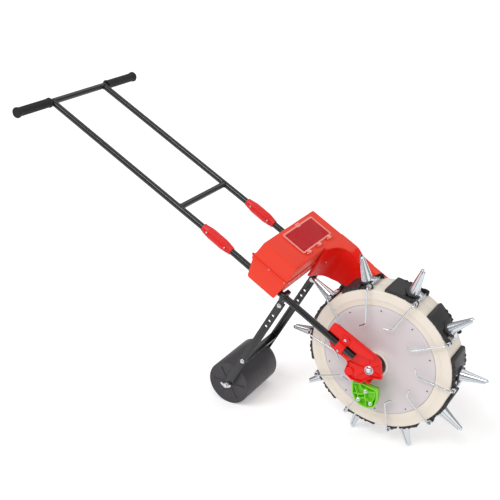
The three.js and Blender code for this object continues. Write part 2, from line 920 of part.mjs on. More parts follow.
function seedWheel() {
  const wheel = ringY(bore(AXLE_R, RING_SIDES), WHEEL_R, -42, 15, RING_SIDES);
  const pockets = Array.from({ length: STATIONS }, (_, i) =>
    rodY(9, -16, 16, WHEEL_R - 2, 0, SMALL_ROUND).rotateY(-i * STEP),
  );
  return cut(wheel, ...pockets);
}

// A ring of ten doors with a vane between each, so each pocket's seed falls to its own beak.
function seedDistributor() {
  const ring = ringY(WHEEL_R + 2, DISTRIBUTOR_R, -42, 42, RING_SIDES);
  const vanes = Array.from({ length: STATIONS }, (_, i) =>
    box(DISTRIBUTOR_R - 2, VANE_END_R, -42, 42, -1.2, 1.2).rotateY(
      -(i + 0.5) * STEP,
    ),
  );
  const doors = Array.from({ length: STATIONS }, (_, i) =>
    box(WHEEL_R - 5, DISTRIBUTOR_R + 5, -16, 30, -14, 14).rotateY(-i * STEP),
  );
  return cut(join(ring, ...vanes), ...doors);
}

function seedInletHousing() {
  return turned(
    [
      [HOUSING_R - WALL, 18.5],
      [HOUSING_R, 18.5],
      [HOUSING_R, PLATE_INNER_Y - GAP],
      [AXLE_R + 2, PLATE_INNER_Y - GAP],
      [AXLE_R + 2, PLATE_INNER_Y - GAP - 3],
      [HOUSING_R - WALL, PLATE_INNER_Y - GAP - 3],
      [HOUSING_R - WALL, 18.5],
    ],
    RING_SIDES,
  );
}

function buildDrum() {
  const half = drumHalf();
  const port = rodY(10, 90, 120, SEED_PORT.u - AXLE_U, SEED_PORT.n - AXLE_N)
    .rotateY(RAIL_SLOPE);
  const bush = ringY(bore(HOUSING_R, RING_SIDES), LEFT_BUSH_R, 46, 60, RING_SIDES);
  add(machine, "drum_right_half", half, cream);
  add(machine, "drum_left_half", mirrored(half), cream);
  add(machine, "right_side_cover", rightSideCover(), paleGrey);
  add(machine, "left_side_cover", leftSideCover(), paleGrey);
  add(machine, "right_hub_bush", rightHubBush(), blackPlastic);
  add(machine, "left_hub_bush", bush, blackPlastic);
  add(machine, "seed_wheel", seedWheel(), blackPlastic);
  add(machine, "seed_distributor", seedDistributor(), cream);
  const housing = cut(seedInletHousing(), port);
  add(machine, "seed_inlet_housing", housing, blackPlastic);
}

// ---- Beaks: at each station local X points out along the radius and Z trails behind ------------------
const BEAK_FOOT_X = 208;
const JAW_FOOT_X = 216.8;
const JAW_TIP_X = 283;
const SHEET = 1.8;
const BEAK_SIDES = 8;

// A tapered spike from the foot to the tip, thinner by the given wall.
function spike(shrink, footX) {
  const slope = (BEAK_BASE_R - TIP_FLAT_R) / (TIP_R - BEAK_FOOT_X);
  const tip = TIP_R - shrink * 3;
  const rAt = (x) => TIP_FLAT_R + (TIP_R - x) * slope - shrink;
  return new THREE.CylinderGeometry(
    Math.max(rAt(tip), 0.6),
    rAt(footX),
    tip - footX,
    BEAK_SIDES,
  )
    .rotateY(Math.PI / BEAK_SIDES)
    .rotateZ(-Math.PI / 2)
    .scale(1, BEAK_FLATTEN, 1)
    .translate((tip + footX) / 2, 0, 0);
}

// The fixed beak stands on a seat plate let into the rim, with two lugs for the moving beak's pin.
function fixedBeak() {
  const plate = box(
    SEAT_IN,
    SEAT_OUT,
    -SEAT_HALF_Y,
    SEAT_HALF_Y,
    -SEAT_HALF,
    SEAT_HALF,
  ).rotateY(-SEAT_LAG);
  const pad = box(
    SEAT_IN,
    PAD.out,
    1 - SEAT_HALF_Y,
    SEAT_HALF_Y - 1,
    PAD.z,
    SEAT_HALF,
  ).rotateY(-SEAT_LAG);
  const lugs = [-1, 1].map((side) => {
    const a = side * 35;
    const b = side * 40;
    return box(210.4, 223.5, Math.min(a, b), Math.max(a, b), -31.5, -8);
  });
  const leading = box(200, JAW_TIP_X + 1.5, -25, 25, -25, GAP);
  const shell = cut(spike(0, BEAK_FOOT_X), leading);
  const passage = cut(spike(SHEET, 200), box(190, 300, -25, 25, -25, -12));
  return cut(
    join(plate, pad, shell, ...lugs),
    passage,
    rodY(bore(PIN_R, SMALL_ROUND), -60, 60, HINGE.x, HINGE.z, SMALL_ROUND),
  );
}

// The moving beak closes the fixed one from the leading side. Its pin carries the wire lever.
function movingBeak() {
  const shell = cut(
    spike(0, JAW_FOOT_X),
    spike(SHEET, 200),
    box(200, 300, -25, 25, -GAP, 30),
    box(JAW_TIP_X, 300, -25, 25, -30, 30),
  );
  const { x, z } = HINGE;
  const ear = box(x - 1, x + 5, -12, 12, z, -15.4);
  const barrel = rodY(5, -12, 12, x, z, SMALL_ROUND);
  const pin = rodY(PIN_R, -61, 43, x, z, SMALL_ROUND);
  const lever = wire(
    [
      [x, -58, z],
      [x - 45, -63, z + 12],
      [128, -70, -3.5],
      [119, -70, 6],
      [114.5, -69, 20],
    ],
    2,
    8,
    5,
  );
  return join(shell, ear, barrel, pin, lever);
}

function buildBeaks() {
  const fixed = fixedBeak();
  const moving = movingBeak();
  for (let i = 0; i < STATIONS; i += 1) {
    const number = String(i + 1).padStart(2, "0");
    const seat = add(machine, `fixed_beak_${number}`, fixed, blackPlastic);
    const jaw = add(machine, `moving_beak_${number}`, moving, zinc);
    seat.rotation.y = -i * STEP;
    jaw.rotation.y = -i * STEP;
  }
}

buildHandle();
buildCouplings();
buildHopper();
buildFrame();
buildRoller();
buildDrum();
buildBeaks();

export default seeder;
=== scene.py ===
"""Looks of a hand-pushed drum seeder. Shapes are drawn in millimetres in the frame of the assembly they
belong to (rail, handle, axle, roller or one beak's station) and placed into the row frame in metres."""
import json
import math

import bmesh
import bpy
from mathutils import Matrix, Vector


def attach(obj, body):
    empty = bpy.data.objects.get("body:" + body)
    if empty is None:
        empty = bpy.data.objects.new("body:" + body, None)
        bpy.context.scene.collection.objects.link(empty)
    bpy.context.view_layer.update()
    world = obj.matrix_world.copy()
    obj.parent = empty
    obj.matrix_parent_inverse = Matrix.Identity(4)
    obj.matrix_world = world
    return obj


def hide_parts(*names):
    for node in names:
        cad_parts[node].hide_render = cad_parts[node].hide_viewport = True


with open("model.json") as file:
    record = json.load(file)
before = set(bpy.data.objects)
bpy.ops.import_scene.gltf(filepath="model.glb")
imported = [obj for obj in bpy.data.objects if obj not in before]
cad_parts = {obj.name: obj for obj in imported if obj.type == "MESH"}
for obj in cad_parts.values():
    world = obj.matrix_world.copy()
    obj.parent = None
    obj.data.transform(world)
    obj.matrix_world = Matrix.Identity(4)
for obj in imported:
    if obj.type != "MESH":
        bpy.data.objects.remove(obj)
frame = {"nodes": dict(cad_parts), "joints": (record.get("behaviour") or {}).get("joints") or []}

# ---- Dimensions shared with the CAD, in millimetres --------------------------------------------------
STATIONS = 10
STEP = 360 / STATIONS
RAIL_SLOPE = 29.4
HANDLE_SLOPE = 28.1
COUPLING = (-0.0854891, 0, 0.563825)  # middle of the couplings, in the row frame in metres
TUBE_R = 9.5
TUBE_BORE = 7.9
TUBE_Y = 118.5
BAR_X = -673.5
BRACE_X = -148
BRACE_R = 9
RAIL_END = 506
AXLE_U, AXLE_N = 560, -6.7
SPOUT_U, SPOUT_N = 562, 30
RIM_R = 210
COVER_R = 166.6
COVER_SCREW_R = 156
TIP_R = 297
HINGE_X, HINGE_Z = 218, -26
SEAT_LAG = 7
ARM_U = 252
ROLLER_N = -424.83
CROSS_BAR_N = -309

MM = Matrix.Scale(0.001, 4)
joints = {joint["name"]: joint for joint in frame["joints"]}


def turn(degrees, axis):
    return Matrix.Rotation(math.radians(degrees), 4, axis)


def shift(x=0.0, y=0.0, z=0.0):
    return Matrix.Translation((x, y, z))


RAIL = shift(*COUPLING) @ turn(RAIL_SLOPE, "Y") @ MM
HANDLE = shift(*COUPLING) @ turn(HANDLE_SLOPE, "Y") @ MM
AXLE = shift(*joints["drum_spin"]["pos_m"]) @ MM
ROLLER = shift(*joints["roller_spin"]["pos_m"]) @ MM
MIRROR_Y = Matrix.Scale(-1, 4, (0, 1, 0))
MIRROR_Z = Matrix.Scale(-1, 4, (0, 0, 1))
stations = [AXLE @ turn(-i * STEP, "Y") for i in range(STATIONS)]
numbers = [f"{i + 1:02d}" for i in range(STATIONS)]


# ---- Meshes ------------------------------------------------------------------------------------------
def mesh_of(bm):
    bmesh.ops.recalc_face_normals(bm, faces=bm.faces)
    mesh = bpy.data.meshes.new("shape")
    bm.to_mesh(mesh)
    bm.free()
    return mesh


def loft(rings, loop=False):
    """Faces between neighbouring rings of points, and over both ends unless it is a loop. A ring of one
    point is a pole."""
    bm = bmesh.new()
    rows = [[bm.verts.new(point) for point in ring] for ring in rings]
    pairs = list(zip(rows, rows[1:]))
    if loop:
        pairs.append((rows[-1], rows[0]))
    for a, b in pairs:
        count = max(len(a), len(b))
        for i in range(count):
            j = (i + 1) % count
            corners = [a[i % len(a)], a[j % len(a)], b[j % len(b)], b[i % len(b)]]
            corners = list(dict.fromkeys(corners))
            if len(corners) > 2:
                bm.faces.new(corners)
    if not loop:
        for row in (rows[0], rows[-1]):
            if len(row) > 2:
                bm.faces.new(row)
    return mesh_of(bm)


def moved(mesh, matrix):
    copy = mesh.copy()
    copy.transform(matrix)
    if matrix.determinant() < 0:
        copy.flip_normals()
    return copy


def lathe(profile, sides=64, loop=True, ripple=None):
    """A body turned about Y from a list of (radius, y). A ripple(angle, y) scales the radius."""
    rings = []
    for radius, y in profile:
        if radius == 0:
            rings.append([(0, y, 0)])
            continue
        ring = []
        for i in range(sides):
            angle = 2 * math.pi * i / sides
            r = radius * (ripple(angle, y) if ripple else 1)
            ring.append((r * math.cos(angle), y, r * math.sin(angle)))
        rings.append(ring)
    return loft(rings, loop=loop)


def along_x(mesh):
    return moved(mesh, turn(-90, "Z"))


def along_z(mesh):
    return moved(mesh, turn(90, "X"))


def tube(inner, outer, lo, hi):
    edge = 0.4
    return lathe(
        [(inner, lo), (outer - edge, lo), (outer, lo + edge), (outer, hi - edge),
         (outer - edge, hi), (inner, hi)],
        48,
    )


def rod(radius, lo, hi, sides=40, edge=0.6):
    return lathe(
        [(0, lo), (radius - edge, lo), (radius, lo + edge), (radius, hi - edge),
         (radius - edge, hi), (0, hi)],
        sides,
        loop=False,
    )


def rounded(points, radius, steps=5):
    """An outline with its corners rounded. A point may carry its own radius as a third number."""
    made = []
    count = len(points)
    for i, point in enumerate(points):
        here = Vector(point[:2])
        before = Vector(points[i - 1][:2]) - here
        after = Vector(points[(i + 1) % count][:2]) - here
        wanted = point[2] if len(point) > 2 else radius
        half = before.angle(after) / 2
        if wanted <= 0 or half > math.radians(88):
            made.append(tuple(here))
            continue
        reach = min(wanted / math.tan(half), 0.45 * before.length, 0.45 * after.length)
        r = reach * math.tan(half)
        centre = here + (before.normalized() + after.normalized()).normalized() * (
            r / math.sin(half)
        )
        start = here + before.normalized() * reach - centre
        end = here + after.normalized() * reach - centre
        total = start.angle_signed(end)
        for k in range(steps + 1):
            a = -total * k / steps
            c, s = math.cos(a), math.sin(a)
            made.append((centre.x + start.x * c - start.y * s,
                         centre.y + start.x * s + start.y * c))
    return made


def inset(points, distance):
    """A closed outline moved inwards. Points keep their own corner radius."""
    area = sum(a[0] * b[1] - b[0] * a[1] for a, b in zip(points, points[1:] + points[:1]))
    sign = 1 if area > 0 else -1
    lines = []
    for a, b in zip(points, points[1:] + points[:1]):
        dx, dy = b[0] - a[0], b[1] - a[1]
        length = math.hypot(dx, dy)
        nx, ny = -dy / length * sign, dx / length * sign
        lines.append((nx, ny, nx * a[0] + ny * a[1] + distance))
    made = []
    for point, (px, py, pd), (qx, qy, qd) in zip(points, lines[-1:] + lines[:-1], lines):
        det = px * qy - py * qx
        made.append(((pd * qy - py * qd) / det, (px * qd - pd * qx) / det, *point[2:]))
    return made


def plate_y(points, lo, hi):
    return loft([[(x, y, z) for x, z in points] for y in (lo, hi)])


def plate_z(points, lo, hi):
    return loft([[(x, y, z) for x, y in points] for z in (lo, hi)])


def plate_x(points, lo, hi):
    return loft([[(x, y, z) for y, z in points] for x in (lo, hi)])


def rectangle(a0, a1, b0, b1):
    return [(a0, b0), (a1, b0), (a1, b1), (a0, b1)]


def box(x0, x1, y0, y1, z0, z1):
    return plate_z(rectangle(x0, x1, y0, y1), z0, z1)


def hexagon(across, lo, hi):
    """A six-sided nut or bolt head about Y, chamfered at its outer end."""
    r = across / math.sqrt(3)
    chamfer = 0.8 * math.copysign(1, hi - lo)
    return lathe([(0, lo), (r, lo), (r, hi - chamfer), (r * 0.86, hi), (0, hi)], 6, loop=False)


def spline(points, per_span=8):
    """A Catmull-Rom curve through the points."""
    ends = [points[0], *points, points[-1]]
    made = []
    for p0, p1, p2, p3 in zip(ends, ends[1:], ends[2:], ends[3:]):
        for k in range(per_span):
            t = k / per_span
            made.append(tuple(
                0.5 * (2 * b + (c - a) * t + (2 * a - 5 * b + 4 * c - d) * t * t
                       + (3 * b - a - 3 * c + d) * t ** 3)
                for a, b, c, d in zip(p0, p1, p2, p3)
            ))
    made.append(tuple(points[-1]))
    return made


def sweep(path, radius, sides=12, loop=False):
    """Round wire along a path of points."""
    points = [Vector(p) for p in path]
    count = len(points)
    rings = []
    normal = None
    for i, point in enumerate(points):
        if loop:
            heading = points[(i + 1) % count] - points[i - 1]
        else:
            heading = points[min(i + 1, count - 1)] - points[max(i - 1, 0)]
        heading.normalize()
        if normal is None:
            normal = heading.orthogonal().normalized()
        normal = (normal - heading * normal.dot(heading)).normalized()
        other = heading.cross(normal)
        rings.append([
            tuple(point + normal * radius * math.cos(a) + other * radius * math.sin(a))
            for a in (2 * math.pi * k / sides for k in range(sides))
        ])
    return loft(rings, loop=loop)


def joined(*meshes):
    bm = bmesh.new()
    for mesh in meshes:
        bm.from_mesh(mesh)
    made = bpy.data.meshes.new("shape")
    bm.to_mesh(made)
    bm.free()
    return made


def evaluated(mesh, add_modifiers):
    """The mesh with modifiers applied to it."""
    obj = bpy.data.objects.new("work", mesh)
    bpy.context.scene.collection.objects.link(obj)
    helpers = add_modifiers(obj)
    graph = bpy.context.evaluated_depsgraph_get()
    made = bpy.data.meshes.new_from_object(obj.evaluated_get(graph))
    for used in [obj, *helpers]:
        bpy.data.objects.remove(used)
    return made


def combined(mesh, tools, operation):
    def add(obj):
        helpers = []
        for tool in tools:
            helper = bpy.data.objects.new("tool", tool)
            bpy.context.scene.collection.objects.link(helper)
            modifier = obj.modifiers.new("cut", "BOOLEAN")
            modifier.operation = operation
            modifier.solver = "EXACT"
            modifier.object = helper
            helpers.append(helper)
        return helpers

    return evaluated(mesh, add)


def carve(mesh, *tools):
    return combined(mesh, tools, "DIFFERENCE")


def crossed(mesh, tool):
    return combined(mesh, [tool], "INTERSECT")


def soften(mesh, width, segments=2, angle=35):
    def add(obj):
        modifier = obj.modifiers.new("edge", "BEVEL")
        modifier.width = width
        modifier.segments = segments
        modifier.limit_method = "ANGLE"
        modifier.angle_limit = math.radians(angle)
        modifier.miter_outer = "MITER_ARC"
        return []

    return evaluated(mesh, add)


def piece(name, mesh, place, finish, body, replaces=(), smooth=38):
    """Adds a mesh to the machine. A finish is (material, slot)."""
    material, slot = finish
    shown = moved(mesh, place)
    shown.name = name
    shown.shade_smooth()
    shown.set_sharp_from_angle(angle=math.radians(smooth))
    shown.materials.clear()
    shown.materials.append(material)
    obj = bpy.data.objects.new(name, shown)
    bpy.context.scene.collection.objects.link(obj)
    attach(obj, body)
    if replaces:
        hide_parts(*replaces)
    return obj


# ---- Finishes ----------------------------------------------------------------------------------------
def finish(slot, color, roughness, metallic=0.0, grain=600.0, bump=0.05, spread=0.06, alpha=1.0,
           clouds=6.0, specular=0.5):
    """A surface with a fine grain in its relief and slow clouds in its roughness."""
    material = bpy.data.materials.new(slot)
    material.use_nodes = True
    nodes, links = material.node_tree.nodes, material.node_tree.links
    shader = nodes["Principled BSDF"]
    shader.inputs["Base Color"].default_value = (*color, 1)
    shader.inputs["Metallic"].default_value = metallic
    shader.inputs["Alpha"].default_value = alpha
    shader.inputs["Specular IOR Level"].default_value = specular
    place = nodes.new("ShaderNodeTexCoord")
    fine = nodes.new("ShaderNodeTexNoise")
    fine.inputs["Scale"].default_value = grain
    fine.inputs["Detail"].default_value = 3
    relief = nodes.new("ShaderNodeBump")
    relief.inputs["Strength"].default_value = bump
    relief.inputs["Distance"].default_value = 0.0005
    slow = nodes.new("ShaderNodeTexNoise")
    slow.inputs["Scale"].default_value = clouds
    slow.inputs["Detail"].default_value = 4
    between = nodes.new("ShaderNodeMapRange")
    between.inputs["From Min"].default_value = 0.3
    between.inputs["From Max"].default_value = 0.7
    between.inputs["To Min"].default_value = max(roughness - spread, 0.02)
    between.inputs["To Max"].default_value = roughness + spread
    links.new(place.outputs["Object"], fine.inputs["Vector"])
    links.new(place.outputs["Object"], slow.inputs["Vector"])
    links.new(fine.outputs["Fac"], relief.inputs["Height"])
    links.new(relief.outputs["Normal"], shader.inputs["Normal"])
    links.new(slow.outputs["Fac"], between.inputs["Value"])
    links.new(between.outputs["Result"], shader.inputs["Roughness"])
    return material, slot


BLACK_PAINT = finish("black_paint", (0.004, 0.004, 0.005), 0.19, bump=0.0, spread=0.02, specular=0.6)
GRIP_RUBBER = finish("grip_rubber", (0.012, 0.012, 0.014), 0.6, bump=0.25, grain=900, specular=0.3)
HOPPER_RED = finish("hopper_red", (0.76, 0.042, 0.018), 0.4, bump=0.02, specular=0.25)
# A copy of the hopper red with painted shade: deeper red and less specular sheen, standing for the
# shade the throat lies in.
THROAT_RED_PAINTED_SHADE = finish("hopper_red", (0.8, 0.01, 0.005), 0.25, bump=0.0, specular=0.12)
COUPLING_RED = finish("coupling_red", (0.67, 0.014, 0.013), 0.28, bump=0.03, specular=0.4)
BRACKET_RED = finish("bracket_red", (0.72, 0.008, 0.005), 0.32, bump=0.03, specular=0.28)
DRUM_CREAM = finish("drum_cream", (0.74, 0.67, 0.585), 0.45, bump=0.06, specular=0.3)
COVER_GREY = finish("cover_grey", (0.6, 0.55, 0.565), 0.42, bump=0.05, specular=0.3)
BLACK_PLASTIC = finish("black_plastic", (0.022, 0.02, 0.022), 0.45, bump=0.12, specular=0.4)
ZINC_STEEL = finish("zinc_steel", (0.62, 0.65, 0.68), 0.2, metallic=1, spread=0.04, clouds=18,
                    bump=0.01)
CAM_GREEN = finish("cam_green", (0.2, 0.64, 0.03), 0.34, bump=0.05, specular=0.35)
WINDOW_CLEAR = finish("window_clear", (0.8, 0.03, 0.04), 0.08, alpha=0.35, bump=0.0, spread=0.03,
                      specular=0.2)
LID_RIM = finish("window_clear", (0.93, 0.3, 0.25), 0.16, alpha=0.85, bump=0.0, spread=0.03)
ROLLER_CHARCOAL = finish("roller_charcoal", (0.04, 0.037, 0.042), 0.5, bump=0.15, specular=0.4)


# ---- Small fasteners ---------------------------------------------------------------------------------
def on_face(mesh, x, face, z, side):
    """A part drawn on the plane Y = 0, put on a face across Y with its head looking to the side."""
    return moved(mesh, shift(x, face, z) @ turn(0 if side > 0 else 180, "X"))


def screw_y(x, z, face, side, radius=4.0, height=2.4):
    """A pan-head screw on a face across Y; side is the way its head looks."""
    head = lathe(
        [(0, 0), (radius, 0), (radius, height * 0.35), (radius * 0.86, height * 0.75),
         (radius * 0.5, height), (radius * 0.42, height), (radius * 0.3, height * 0.45),
         (0, height * 0.45)],
        24,
        loop=False,
    )
    return on_face(head, x, face, z, side)


def hex_y(x, z, face, side, across=11.0, height=4.5, washer=8.5):
    """A hexagon bolt head on a washer, on a face across Y."""
    head = joined(
        lathe([(0, 0), (washer, 0), (washer, 0.9), (washer - 0.4, 1.3), (0, 1.3)], 32, loop=False),
        hexagon(across, 1.2, 1.2 + height),
        lathe([(0, 1.2 + height), (across * 0.22, 1.2 + height), (across * 0.2, 2 + height),
               (0, 2.1 + height)], 20, loop=False),
    )
    return on_face(head, x, face, z, side)


def weld(path):
    """A round bead along a closed path."""
    return sweep(path, 1.5, 8, loop=True)


# ---- Handle ------------------------------------------------------------------------------------------
def build_handle():
    bar_place = HANDLE @ shift(BAR_X)
    piece("handlebar_tube", tube(TUBE_BORE, TUBE_R, -265.5, 265.5), bar_place, BLACK_PAINT, "frame",
          ["handlebar"])

    def flutes(angle, y):
        return 1 + 0.022 * math.cos(22 * angle) if 143 < y < 252 else 1

    body = [(13.6, 143.5 + 12 * k) for k in range(10)]
    grip = lathe(
        [(9.9, 130), (14.4, 130), (15.4, 131), (15.4, 134.2), (14.6, 135.4), (14.1, 138), (13.8, 142),
         *body, (13.8, 253.5), (14.3, 256.5), (15.9, 261.5), (16.3, 264.5), (16.3, 266.8),
         (15.4, 268.4), (13.6, 268.9), (11.5, 268.9), (10.6, 267.8), (3.2, 267.8), (2.4, 268.6),
         (0, 268.6), (0, 266), (9.9, 266)],
        132,
        ripple=flutes,
    )
    piece("left_grip_sleeve", grip, bar_place, GRIP_RUBBER, "frame", ["left_grip"])
    piece("right_grip_sleeve", moved(grip, MIRROR_Y), bar_place, GRIP_RUBBER, "frame", ["right_grip"])
    saddle = []
    brace_saddle = []
    for k in range(40):
        a = 2 * math.pi * k / 40
        saddle.append((BAR_X + TUBE_R * abs(math.cos(a)) + 0.6, TUBE_R * math.cos(a) * 1.03,
                       TUBE_R * math.sin(a) * 1.02))
        brace_saddle.append((BRACE_X + (BRACE_R + 0.2) * math.cos(a),
                             TUBE_Y - math.sqrt(TUBE_R ** 2 - (BRACE_R * math.sin(a)) ** 2) - 0.3,
                             (BRACE_R + 0.2) * math.sin(a)))
    for side, name in ((-1, "right"), (1, "left")):
        pipe = moved(along_x(tube(TUBE_BORE, TUBE_R, BAR_X, -1.5)), shift(0, side * TUBE_Y))
        beads = joined(
            moved(weld(saddle), shift(0, side * TUBE_Y)),
            moved(weld(brace_saddle), MIRROR_Y) if side < 0 else weld(brace_saddle),
        )
        piece(f"{name}_handle_pipe", pipe, HANDLE, BLACK_PAINT, "frame", [f"{name}_handle_tube"])
        piece(f"{name}_handle_welds", beads, HANDLE, BLACK_PAINT, "frame")
    piece("handle_brace_pipe", tube(BRACE_R - 1.6, BRACE_R, -112, 112), HANDLE @ shift(BRACE_X),
          BLACK_PAINT, "frame", ["handle_brace"])


# ---- Couplings ---------------------------------------------------------------------------------------
def coupling_shell():
    """The upper half shell: a bulged channel with two creases, on a flange."""
    rings = []
    steps = 30
    arcs = 40
    half = 55
    creases = (math.radians(48), math.radians(132))
    for k in range(steps + 1):
        x = -half + 2 * half * k / steps
        t = min((half - abs(x)) / 34, 1)
        swell = t * t * (3 - 2 * t)
        wide, high = 12 + 2.8 * swell, 12.4 + 5 * swell
        ring = []
        for i in range(arcs + 1):
            a = math.pi * i / arcs
            crease = 1 - 0.09 * swell * sum(math.exp(-((a - at) / 0.085) ** 2) for at in creases)
            ring.append((x, wide * crease * math.cos(a), 0.3 + (high - 0.3) * crease * math.sin(a)))
        for i in range(arcs, -1, -1):
            a = math.pi * i / arcs
            ring.append((x, 9.8 * math.cos(a), 0.3 + 9.6 * math.sin(a)))
        rings.append(ring)
    dome = loft(rings)
    flange = rounded([(-46, 10), (46, 10), (46, 18.4, 6), (28, 18.4), (18, 16), (-18, 16), (-28, 18.4),
                      (-46, 18.4, 6)], 4)
    near = soften(plate_z(flange, 0.2, 3.6), 0.7)
    return joined(dome, near, moved(near, MIRROR_Y))


def build_couplings():
    upper = coupling_shell()
    lower = moved(upper, MIRROR_Z)
    head = along_z(lathe([(0, 3.4), (3.1, 3.4), (3.1, 5.6), (2.6, 6.4), (1.3, 6.5), (1.2, 5.4),
                          (0, 5.4)], 20, loop=False))
    nut = moved(along_z(joined(hexagon(5.6, 3.4, 6.6), rod(1.5, 6, 8, 16, 0.4))), MIRROR_Z)
    heads = []
    nuts = []
    for x in (-34, 34):
        for y in (-15.2, 15.2):
            heads.append(moved(head, shift(x, y)))
            nuts.append(moved(nut, shift(x, y)))
    for side, name in ((-1, "right"), (1, "left")):
        place = RAIL @ shift(0, side * TUBE_Y)
        piece(f"{name}_coupling_top", upper, place, COUPLING_RED, "frame", [f"{name}_coupling_upper"])
        piece(f"{name}_coupling_bottom", lower, place, COUPLING_RED, "frame",
              [f"{name}_coupling_lower"])
        piece(f"{name}_coupling_bolts", joined(*heads, *nuts), place, ZINC_STEEL, "frame")


# ---- Hopper ------------------------------------------------------------------------------------------
HOPPER_Y = 140
WALL = 3
SEAM_N = 52
TOP_N = 115
FRONT_U = 244.6
BODY_SIDE = [(121, SEAM_N), (136, -15), (235, -15), (242, SEAM_N)]
COVER_SIDE = [(121, SEAM_N), (128, TOP_N), (244, TOP_N), (242, SEAM_N)]
WINDOW = (146, 220, -60, 96)
LID_PIN_U, LID_PIN_N = 228, 119
KNUCKLES = (-42, 18, 78)


def build_hopper():
    inner_y = HOPPER_Y - WALL
    bin_side = [(121, SEAM_N, 0), (136, -15, 9), (235, -15, 7), (242, SEAM_N, 0)]
    shell = soften(plate_y(rounded(bin_side, 0), -HOPPER_Y, HOPPER_Y), 3.2, 4)
    deep = plate_y(inset(BODY_SIDE, WALL), -103, 103)
    wide = plate_y([(132.4, 15.5), (235, 15.5), (239, 60), (123, 60)], -inner_y, inner_y)
    tunnel = box(100, 260, 106, 137, -30, 12.5)
    body = carve(shell, deep, wide, tunnel, moved(tunnel, MIRROR_Y), box(228, 250, 45, 90, 5, 45))
    lip = carve(
        soften(plate_z(rounded(rectangle(118.8, 244, -142, 142), 5), 46.5, 51.6), 0.8),
        box(124, 239, -inner_y, inner_y, 40, 60),
    )
    piece("hopper_bin", joined(body, lip), RAIL, HOPPER_RED, "frame", ["hopper_body"])

    cover_side = [(121, SEAM_N + 0.4, 0), (128, TOP_N, 6), (244, TOP_N, 5), (242, SEAM_N + 0.4, 0)]
    shell = soften(plate_y(rounded(cover_side, 0, 4), -HOPPER_Y, HOPPER_Y), 2.6, 3)
    hollow = plate_y(inset(COVER_SIDE, WALL), -inner_y, inner_y)
    mouth = box(125, 239, -inner_y, inner_y, 45, 60)
    u0, u1, y0, y1 = WINDOW
    opening = plate_z(rounded(rectangle(u0, u1, y0, y1), 4), 105, 130)
    cover = carve(shell, hollow, mouth, opening)
    skirt = carve(
        soften(plate_z(rounded(rectangle(118, 244.8, -143, 143), 5.5), 52.4, 57.4), 1.0),
        box(124, 239, -inner_y, inner_y, 40, 70),
    )
    nose = spline([(240, 26), (251, 33), (257, 52), (266, 74), (281, 90), (302, 98)], 6)
    fold = soften(plate_z([*nose, (302, 142), (240, 142)], 110.5, TOP_N), 1.6, 3, 50)
    ridge_out = rounded(rectangle(u0 - 7.5, u1 + 2.5, y0 - 7.5, y1 + 7.5), 5)
    ridge_in = rounded(rectangle(u0 - 5.4, u1 + 0.6, y0 - 5.4, y1 + 5.4), 4)
    ridge = carve(soften(plate_z(ridge_out, 114, 116.2), 0.8), plate_z(ridge_in, 110, 120))
    lug = rounded([(223.8, 114), (232.2, 114), (232.2, 121.4, 4), (223.8, 121.4, 4)], 0)
    lugs = []
    for y in KNUCKLES:
        for at in (y - 11, y + 11):
            lugs.append(soften(plate_y(lug, at - 2.8, at + 2.8), 0.5))
    piece("hopper_top", joined(cover, skirt, fold, ridge, *lugs), RAIL, HOPPER_RED, "frame",
          ["hopper_cover"])

    pins = [moved(rod(1.4, y - 14.4, y + 14.4, 20), shift(LID_PIN_U, 0, LID_PIN_N)) for y in KNUCKLES]
    piece("lid_pins", joined(*pins), RAIL, ZINC_STEEL, "frame", ["lid_hinge_pin"])
    near = [screw_y(u, 55, -142.8, -1, 1.8, 1) for u in (180, 236)]
    front_screw = moved(screw_y(0, 0, 0, 1, 2.2, 1.4), turn(-90, "Z"))
    front = [moved(front_screw, shift(244.8, y, 55)) for y in (-128, -70, -12)]
    knob = along_x(lathe([(0, -5), (3.2, -5), (4, -4), (4, -1), (3, 0), (3, 3), (0, 3)], 24,
                         loop=False))
    piece("hopper_screws", joined(*near, *front), RAIL, ZINC_STEEL, "frame")
    piece("hopper_latch_knob", moved(knob, shift(117, -128, 51)), RAIL, HOPPER_RED, "frame")


def build_lid():
    u0, u1, y0, y1 = 141, 222, -65, 101
    rim_width = 5
    outline = rounded(rectangle(u0, u1, y0, y1), 5)
    inside = rounded(
        rectangle(u0 + rim_width, u1 - rim_width, y0 + rim_width, y1 - rim_width), 3)
    sheet = soften(plate_z(outline, 116.4, 118), 0.5)
    rim = soften(carve(plate_z(outline, 115.9, 119.4), plate_z(inside, 110, 125)), 0.7)
    tab = soften(plate_z(rounded(rectangle(136, 149, 12, 32), 3), 116, 120.6), 0.9)
    dip = soften(plate_z(rounded(rectangle(139, 146, 15, 29), 2.5), 119, 125), 0.4)
    knuckles = []
    for y in KNUCKLES:
        knuckles.append(moved(rod(3.2, y - 7, y + 7, 28, 0.5), shift(LID_PIN_U, 0, LID_PIN_N)))
        knuckles.append(box(219, LID_PIN_U, y - 7, y + 7, 116.5, 121))
    piece("lid_sheet", sheet, RAIL, WINDOW_CLEAR, "lid", ["window_lid"])
    piece("lid_rim", joined(rim, carve(tab, dip), *knuckles), RAIL, LID_RIM, "lid")


